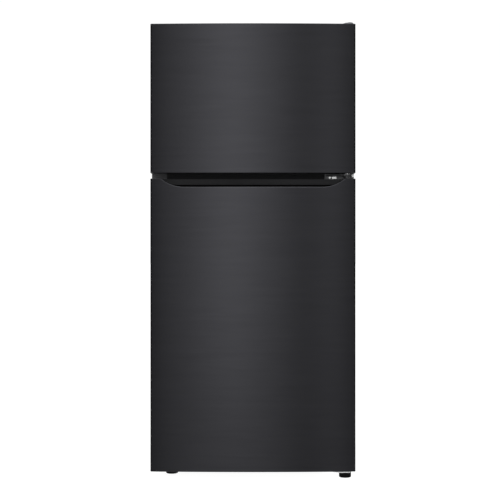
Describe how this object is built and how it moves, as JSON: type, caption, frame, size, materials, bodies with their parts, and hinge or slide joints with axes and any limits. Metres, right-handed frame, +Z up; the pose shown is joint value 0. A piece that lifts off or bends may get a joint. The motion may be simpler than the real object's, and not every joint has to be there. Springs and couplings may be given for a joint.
{
  "type": "top freezer refrigerator",
  "caption": "Free-standing kitchen refrigerator with a freezer compartment on top, crowned dark steel doors hinged on the right and a hidden hand pocket between them.",
  "frame": {"origin": "on the floor, at the middle of the whole refrigerator's width and depth", "axes": "+Z up, +X to the right seen from the front, the doors face -Y"},
  "size_m": [0.755, 0.812, 1.685],
  "materials": {
    "black_stainless": "satin",
    "cabinet_paint": "satin",
    "galvanised": "matte",
    "black_steel": "satin",
    "hinge_steel": "satin",
    "bright_screw": "satin",
    "dark_plastic": "matte",
    "black_rubber": "matte",
    "foam": "matte",
    "white_liner": "satin",
    "white_plastic": "satin",
    "white_wire": "gloss",
    "clear_plastic": "gloss",
    "frosted_lens": "satin",
    "shelf_glass": "polished",
    "gasket_grey": "matte",
    "aluminium_fins": "satin",
    "copper": "satin",
    "grey_knob": "satin"
  },
  "bodies": {
    "cabinet": {"cabinet_wrapper": "cabinet_paint", "rear_panel": "galvanised", "cabinet_insulation": "foam", "freezer_liner": "white_liner", "fridge_liner": "white_liner", "mullion_strip": "cabinet_paint", "front_base_rail": "black_steel", "chassis_rails": "galvanised", "base_pan": "galvanised", "top_hinge": "hinge_steel", "top_hinge_cover": "dark_plastic", "middle_hinge": "hinge_steel", "bottom_hinge": "galvanised", "hinge_screws": "bright_screw", "compressor": "black_steel", "condenser": "aluminium_fins", "fan_shroud": "dark_plastic", "condenser_fan_motor": "black_steel", "drain_pan": "dark_plastic", "refrigerant_pipes": "copper", "machine_cover": "galvanised", "cord_gland": "black_rubber", "evaporator": "aluminium_fins", "evaporator_cover": "white_liner", "evaporator_fan_motor": "black_steel", "freezer_shelf": "white_wire", "ice_bin": "clear_plastic", "air_duct_panel": "white_plastic", "control_housing": "white_plastic", "light_lens": "frosted_lens", "shelf_glass": "shelf_glass", "shelf_frames": "white_plastic", "crisper_cover": "white_plastic"},
    "freezer_door": {"freezer_door_skin": "black_stainless", "freezer_door_caps": "dark_plastic", "freezer_door_insulation": "foam", "freezer_door_liner": "white_liner", "freezer_door_gasket": "gasket_grey", "freezer_door_bins": "clear_plastic"},
    "fridge_door": {"fridge_door_skin": "black_stainless", "fridge_door_top_cap": "dark_plastic", "fridge_door_bottom_cap": "dark_plastic", "fridge_door_insulation": "foam", "fridge_door_liner": "white_liner", "fridge_door_gasket": "gasket_grey", "fridge_door_bins": "clear_plastic", "dairy_bin": "white_plastic"},
    "dairy_lid": {"dairy_lid": "clear_plastic"},
    "left_crisper": {"left_crisper": "clear_plastic"},
    "right_crisper": {"right_crisper": "clear_plastic"},
    "light_switch_plunger": {"light_switch_plunger": "white_plastic"},
    "fridge_knob": {"fridge_knob": "grey_knob"},
    "freezer_knob": {"freezer_knob": "grey_knob"},
    "damper_flap": {"damper_flap": "white_plastic"},
    "evaporator_fan": {"evaporator_fan_blade": "white_plastic"},
    "condenser_fan": {"condenser_fan_blade": "dark_plastic"},
    "left_roller": {"left_roller": "black_rubber"},
    "right_roller": {"right_roller": "black_rubber"},
    "left_foot": {"left_foot": "black_rubber"},
    "right_foot": {"right_foot": "black_rubber"}
  },
  "joints": [
    {"name": "freezer_door_hinge", "type": "hinge", "parent": "cabinet", "child": "freezer_door", "pos_m": [0.348, -0.371, 1.4], "axis": [0, 0, 1], "range_deg": [0, 130]},
    {"name": "fridge_door_hinge", "type": "hinge", "parent": "cabinet", "child": "fridge_door", "pos_m": [0.348, -0.371, 0.56], "axis": [0, 0, 1], "range_deg": [0, 130]},
    {"name": "dairy_lid_hinge", "type": "hinge", "parent": "fridge_door", "child": "dairy_lid", "pos_m": [0, -0.265, 1.031], "axis": [1, 0, 0], "range_deg": [0, 75]},
    {"name": "left_crisper_slide", "type": "slide", "parent": "cabinet", "child": "left_crisper", "axis": [0, -1, 0], "range_m": [0, 0.262]},
    {"name": "right_crisper_slide", "type": "slide", "parent": "cabinet", "child": "right_crisper", "axis": [0, -1, 0], "range_m": [0, 0.262]},
    {"name": "light_switch_travel", "type": "slide", "parent": "cabinet", "child": "light_switch_plunger", "axis": [0, -1, 0], "range_m": [0, 0.0062]},
    {"name": "temperature_dial_turn", "type": "hinge", "parent": "cabinet", "child": "fridge_knob", "pos_m": [0.095, -0.158, 1.063], "axis": [0, 1, 0], "range_deg": [0, 270]},
    {"name": "freezer_dial_turn", "type": "hinge", "parent": "cabinet", "child": "freezer_knob", "pos_m": [0.215, 0.226, 1.54], "axis": [0, 1, 0], "range_deg": [0, 180]},
    {"name": "damper_flap_turn", "type": "hinge", "parent": "cabinet", "child": "damper_flap", "pos_m": [0, 0.334, 1.022], "axis": [1, 0, 0], "range_deg": [0, 60]},
    {"name": "evaporator_fan_spin", "type": "hinge", "parent": "cabinet", "child": "evaporator_fan", "pos_m": [0, 0.273, 1.5], "axis": [0, 1, 0], "continuous": true},
    {"name": "condenser_fan_spin", "type": "hinge", "parent": "cabinet", "child": "condenser_fan", "pos_m": [0.049, 0.285, 0.178], "axis": [1, 0, 0], "continuous": true},
    {"name": "left_roller_spin", "type": "hinge", "parent": "cabinet", "child": "left_roller", "pos_m": [-0.33, 0.34, 0.023], "axis": [1, 0, 0], "continuous": true},
    {"name": "right_roller_spin", "type": "hinge", "parent": "cabinet", "child": "right_roller", "pos_m": [0.33, 0.34, 0.023], "axis": [1, 0, 0], "continuous": true},
    {"name": "left_foot_height", "type": "slide", "parent": "cabinet", "child": "left_foot", "axis": [0, 0, 1], "range_m": [-0.008, 0]},
    {"name": "right_foot_height", "type": "slide", "parent": "cabinet", "child": "right_foot", "axis": [0, 0, 1], "range_m": [-0.008, 0]}
  ],
  "couplings": [
    {"joint": "left_crisper_slide", "follows": "fridge_door_hinge", "m_per_rad": 0.115},
    {"joint": "right_crisper_slide", "follows": "fridge_door_hinge", "m_per_rad": 0.115},
    {"joint": "light_switch_travel", "follows": "fridge_door_hinge", "m_per_rad": 0.0027},
    {"joint": "damper_flap_turn", "follows": "freezer_dial_turn", "ratio": 0.3333}
  ]
}
